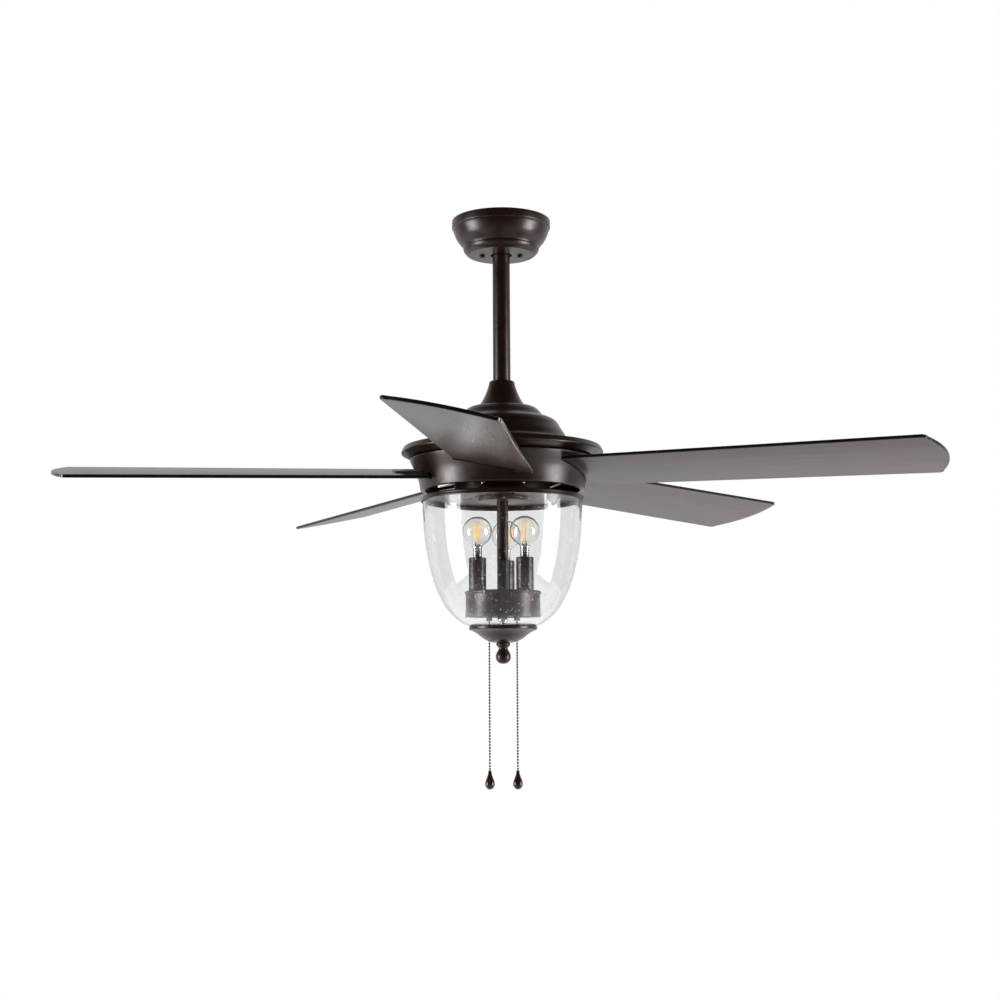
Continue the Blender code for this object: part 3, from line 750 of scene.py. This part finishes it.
def make_candle(n, at):
    """Candle sleeve, the socket inside it and the lamp's cap, whose thread is a cosine of the height."""
    sleeve = eased([(12.0, SLEEVE_TOP), (12.6, SLEEVE_TOP), (13.0, SLEEVE_TOP - 0.6), (13.0, -569.0),
                    (13.0, STAND_Z), (12.0, STAND_Z), (12.0, SLEEVE_TOP - 0.01)], 0.4)
    bronze_piece(turned(f"candle_tube_{n}", sleeve, SMALL_TURN, at), "pendant", f"candle_sleeve_{n}")
    socket = eased([(7.6, -522.6), (11.5, -522.6), (11.5, STAND_Z), (7.6, STAND_Z), (7.6, -522.61)], 0.5)
    dress(turned(f"socket_throat_{n}", socket, SMALL_TURN, at), BLACK, "pendant", "black_plastic",
          f"lamp_socket_{n}")
    thread_top, thread_end, lead = -506.5, -526.5, 3.0
    z = np.linspace(thread_top, thread_end, 81)
    thread = np.column_stack([6.75 + 0.32 * np.cos((z - thread_top) * math.tau / lead), z])
    cap = np.vstack([[(0.0, -504.6), (7.3, -504.6), (7.5, -505.2)], thread, [(4.2, -528.6), (0.0, -530.4)]])
    dress(turned(f"lamp_cap_{n}", cap, 48, at, closed=False), LAMP_CAP, "pendant", "lamp_cap",
          f"bulb_base_{n}")


def make_globe(n, at):
    """Round clear globe that narrows into its cap, and the glass stem that stands inside."""
    a = np.radians(np.linspace(0.5, 142, 40))
    globe = np.column_stack([GLOBE_R * np.sin(a), GLOBE_Z + GLOBE_R * np.cos(a)])
    neck = flow([globe[-1], (10.6, GLOBE_Z - 19.4), (8.6, GLOBE_Z - 21.4), (7.7, GLOBE_Z - 22.6)])[1:]
    crown = GLOBE_Z + GLOBE_R
    wall = walled(np.vstack([globe, neck]), GLASS_WALL)
    skin = np.vstack([[(0.0, crown)], wall, [(0.0, crown - GLASS_WALL)]])
    bulb = turned(f"lamp_globe_{n}", skin, 72, at, closed=False)
    dress(bulb, LAMP_GLASS, "pendant", "lamp_glass", f"bulb_glass_{n}")
    bulb.visible_shadow = False
    stem = np.vstack([[(0.0, -474.0)], flow([(0.9, -474.6), (1.1, -484.0), (1.4, -494.0), (3.4, -500.5),
                                             (5.6, -504.2)], 5), [(0.0, -504.2)]])
    post = turned(f"lamp_stem_{n}", stem, 24, at, closed=False)
    dress(post, LAMP_GLASS, "pendant", "lamp_glass")
    post.visible_shadow = False


def make_filament(n, x, y):
    """Four amber sticks that lean outward round the stem, each with a wire at its foot and its head."""
    sticks, wires = [], []
    for k in range(4):
        angle = math.radians(45 + 90 * k + 20 * n)
        c, s = math.cos(angle), math.sin(angle)
        low = np.array([x + 3.8 * c, y + 3.8 * s, -497.0])
        high = np.array([x + 5.6 * c, y + 5.6 * s, -468.5])
        t = np.linspace(0, 1, 8)[:, None]
        sticks.append(capped_tube(low + (high - low) * t, 0.75, 8))
        foot = flow([(x + 0.8 * c, y + 0.8 * s, -501.0), (x + 2.6 * c, y + 2.6 * s, -499.4), low], 4)
        wires.append(capped_tube(foot, 0.2, 6))
        hook = flow([high, (x + 3.6 * c, y + 3.6 * s, -466.6), (x + 0.3 * c, y + 0.3 * s, -474.4)], 4)
        wires.append(capped_tube(hook, 0.2, 6))
    dress(joined(f"filament_sticks_{n}", sticks), GLOW, "pendant", "filament", f"filament_{n}")
    dress(joined(f"filament_wires_{n}", wires), WIRE, "pendant", "lamp_cap")


def bowl_radius(depth_share):
    """Radius of the bowl at a share of its depth: the rim's times (1 - share squared) to a power."""
    return BOWL_RIM_R * (1 - depth_share ** 2) ** BOWL_POWER


def make_bowl():
    """Seeded glass bowl: even wall, a ground rim at the top and a round hole at the bottom, with
    small round seeds that stand in its outer skin."""
    last = math.sqrt(1 - (BOWL_HOLE_R / BOWL_RIM_R) ** (1 / BOWL_POWER))
    share = last * np.sin(np.linspace(0, math.pi / 2, 70))
    outer = np.column_stack([bowl_radius(share), BOWL_TOP - BOWL_DEPTH * share])
    bowl = shell("seeded_bowl", outer, BOWL_WALL, BOWL_TURN)
    dress(bowl, BOWL_GLASS, "pendant", "seeded_glass", "glass_bowl")
    bowl.visible_shadow = False
    rng = np.random.default_rng(7)
    parts = []
    for _ in range(SEEDS):
        t = rng.uniform(0.02, 0.985) ** 0.8 * last
        turn = rng.uniform(0, math.tau)
        size = rng.choice(SEED_RADII, p=SEED_SHARES)
        inside = bowl_radius(t) - 0.15
        centre = (inside * math.cos(turn), inside * math.sin(turn), BOWL_TOP - BOWL_DEPTH * t)
        parts.append(ball_grid(centre, size, 5, 6))
    seeds = joined("bowl_seeds", parts)
    dress(seeds, SEED, "pendant", "seeded_glass")
    seeds.visible_shadow = False


def make_bottom():
    """Gasket, dished cap with its two chain holes, and the turned finial."""
    gasket = eased([(48.0, -624.2), (48.0, -627.6), (42.0, -628.0), (42.0, -625.9), (48.0, -624.19)], 0.3)
    dress(turned("bowl_gasket", gasket, SMALL_TURN), RUBBER, "pendant", "black_rubber", "bottom_gasket")
    line = np.vstack([eased([(49.9, CAP_TOP), (51.0, -623.8), (51.0, -627.6), (49.6, -628.6),
                             (47.4, -629.0)], 0.7),
                      flow([(46.6, -629.4), (42.0, -631.8), (37.0, -635.2), (32.4, -638.9), (27.0, -642.6),
                            (20.6, -645.5), (13.0, -647.2), (4.5, CAP_END)])])
    cap = shell("dished_cap", line, 1.4)
    bronze_piece(carve(cap, chain_holes(3.4, -655, -635)), "pendant", "bottom_cap")
    body = flow([(10.4, -648.6), (10.6, -650.2), (9.4, -652.4), (7.3, -654.4), (6.9, -656.6), (7.9, -659.0),
                 (9.9, -662.4), (11.3, -667.6), (10.3, -673.0), (7.0, -677.0), (3.0, -678.7)], 6)
    bore = [(0.0, -656.8), (4.3, -656.8), (4.3, -647.8), (9.6, -647.8)]
    knob = np.vstack([bore, body, [(0.0, -678.8)]])
    bronze_piece(turned("finial_knob", knob, 72, closed=False), "pendant", "finial")


# ------------------------------------------------------------------ the frame's own nodes that show

def dress_frame():
    """Finishes of the frame's nodes that are shown as they are."""
    casting = ["hanger_ball", "yoke_coupling", "stator", "rotor_lid", "rotor_case"]
    casting += [f"blade_arm_{i + 1}" for i in range(BLADES)]
    steel = ["hanger_bracket", "hanger_pin", "clevis_pin", "motor_shaft", "upper_bearing", "lower_bearing",
             "tie_rod"]
    for names, finish in ((casting, CASTING), (steel, ZINC), (["pull_switch_1", "pull_switch_2"], BLACK)):
        for name in names:
            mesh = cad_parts[name].data
            mesh.materials.clear()
            mesh.materials.append(finish)


# ------------------------------------------------------------------ studio

def softbox(name, place, size, power, aim):
    """Rectangular soft light that faces a point."""
    data = bpy.data.lights.new(name, "AREA")
    data.shape = "RECTANGLE"
    data.size, data.size_y = size
    data.energy = power
    light = bpy.data.objects.new(name, data)
    light.location = place
    light.rotation_euler = (Vector(aim) - Vector(place)).to_track_quat("-Z", "Y").to_euler()
    light.visible_camera = False
    bpy.context.scene.collection.objects.link(light)


def make_surroundings():
    """World: white to the camera and through glass; in reflections and fill it is dark in front of the
    fan, and rises to white behind it, like a sweep of paper lit from behind."""
    world = bpy.data.worlds.new("studio")
    bpy.context.scene.world = world
    world.use_nodes = True
    world.node_tree.nodes.clear()
    add, link = world.node_tree.nodes.new, world.node_tree.links.new
    out = add("ShaderNodeOutputWorld")
    white = add("ShaderNodeBackground")
    fill = add("ShaderNodeBackground")
    for background in (white, fill):
        background.inputs["Color"].default_value = (1, 1, 1, 1)
    # how bright a reflection finds the studio, from the front of the fan to behind it
    where = add("ShaderNodeTexCoord")
    split = add("ShaderNodeSeparateXYZ")
    rise = add("ShaderNodeMapRange")
    rise.interpolation_type = "SMOOTHSTEP"
    for key, value in (("From Min", -0.1), ("From Max", 0.8), ("To Min", 0.004), ("To Max", 0.8)):
        rise.inputs[key].default_value = value
    link(where.outputs["Generated"], split.inputs["Vector"])
    link(split.outputs["Y"], rise.inputs["Value"])
    link(rise.outputs["Result"], fill.inputs["Strength"])
    # a ray that has met nothing but clear glass sees plain white
    ray = add("ShaderNodeLightPath")
    bounces = add("ShaderNodeMath")
    bounces.operation = "ADD"
    direct = add("ShaderNodeMath")
    direct.operation = "LESS_THAN"
    direct.inputs[1].default_value = 0.5
    mix = add("ShaderNodeMixShader")
    link(ray.outputs["Diffuse Depth"], bounces.inputs[0])
    link(ray.outputs["Glossy Depth"], bounces.inputs[1])
    link(bounces.outputs[0], direct.inputs[0])
    link(direct.outputs[0], mix.inputs["Fac"])
    link(fill.outputs[0], mix.inputs[1])
    link(white.outputs[0], mix.inputs[2])
    link(mix.outputs[0], out.inputs["Surface"])


def make_studio():
    """Pale floor well below the fan with painted light: it glows by its own emission, none in front of the
    fan and rising to bright behind it; soft lights to each side.
    """
    corners = [(x, y, FLOOR_Z) for x, y in rectangle(-FLOOR_HALF, FLOOR_HALF, -FLOOR_HALF, FLOOR_HALF)]
    floor = mesh_piece("studio_floor", corners, [(0, 1, 2, 3)], merge=False)
    n = Nodes("pale_floor")
    n.set(Base_Color=(0.62, 0.62, 0.62, 1.0), Roughness=0.8, Emission_Color=(1.0, 1.0, 1.0, 1.0))
    # painted light: the floor's emission rises from nothing in front of the fan to bright behind it, a glow
    # painted into the floor
    split = n.add("ShaderNodeSeparateXYZ")
    n.link(n.place(), split.inputs[0])
    n.link(n.spread(split.outputs["Y"], 0.0, 0.95, -0.1, 0.7), n.shader.inputs["Emission Strength"])
    floor.data.materials.append(n.material)
    aim = (0.0, 0.0, -0.3)
    for side, name in ((-1, "left"), (1, "right")):
        softbox(f"{name}_softbox", (side * 2.9, -0.75, -0.95), (0.8, 1.5), 40.0, aim)
        softbox(f"{name}_glow", (side * 3.0, -0.78, -0.75), (1.6, 2.4), 66.0, aim)
    bpy.context.scene.view_settings.view_transform = "Standard"


make_camera()
make_chain(1, -1, "fan_chain")
make_chain(2, 1, "light_chain")
make_canopy()
make_rod()
make_yoke_cover()
make_upper_housing()
make_flange()
make_drum()
for blade_index in range(BLADES):
    make_blade(blade_index)
make_hub()
make_pan()
make_hub_screws()
make_cluster()
make_outlets()
for lamp, lamp_x, lamp_y in lamp_places():
    make_candle(lamp, (lamp_x, lamp_y))
    make_globe(lamp, (lamp_x, lamp_y))
    make_filament(lamp, lamp_x, lamp_y)
make_bowl()
make_bottom()
dress_frame()
make_surroundings()
make_studio()
